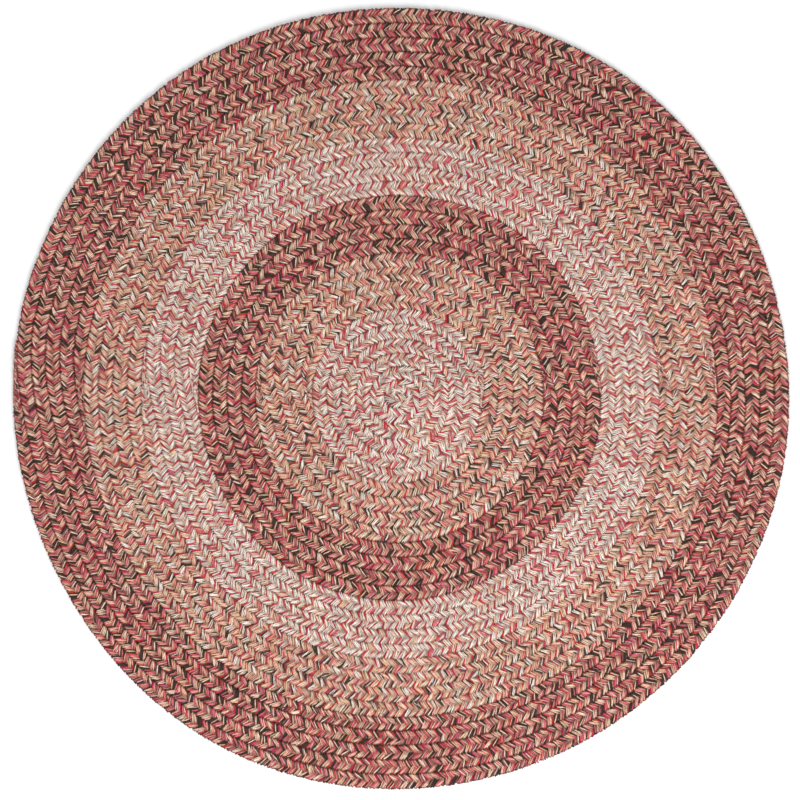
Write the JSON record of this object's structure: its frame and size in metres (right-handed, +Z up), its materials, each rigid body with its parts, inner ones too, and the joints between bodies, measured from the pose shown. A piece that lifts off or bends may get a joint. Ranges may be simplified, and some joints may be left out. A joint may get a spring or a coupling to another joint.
{
  "type": "braided rug",
  "caption": "Round flat rug of coiled yarn braid in dark, tan and pale rings, the rows ribbed on top, each ring's braid tapering in at its outer edge and out at its inner edge.",
  "frame": {"origin": "middle of the underside, on the floor", "axes": "+Z up from the floor, +X to the right and +Y to the top of the rug as it is seen from above in the picture"},
  "size_m": [1.2138, 1.2214, 0.011],
  "materials": {
    "dark_border_yarn": "matt braid of dark brown, rose and tan yarns",
    "tan_band_yarn": "matt braid of tan, rose, dark brown and off-white yarns",
    "pale_band_yarn": "matt braid of off-white, tan and rose yarns",
    "dark_ring_yarn": "matt braid of dark brown, rose and tan yarns",
    "tan_ring_yarn": "matt braid of tan, rose, dark brown and off-white yarns",
    "pale_middle_yarn": "matt braid of off-white, tan and rose yarns"
  },
  "bodies": {
    "root": {"dark_border": "dark_border_yarn", "tan_band": "tan_band_yarn", "pale_band": "pale_band_yarn", "dark_ring": "dark_ring_yarn", "tan_ring": "tan_ring_yarn", "pale_middle": "pale_middle_yarn"}
  },
  "joints": []
}
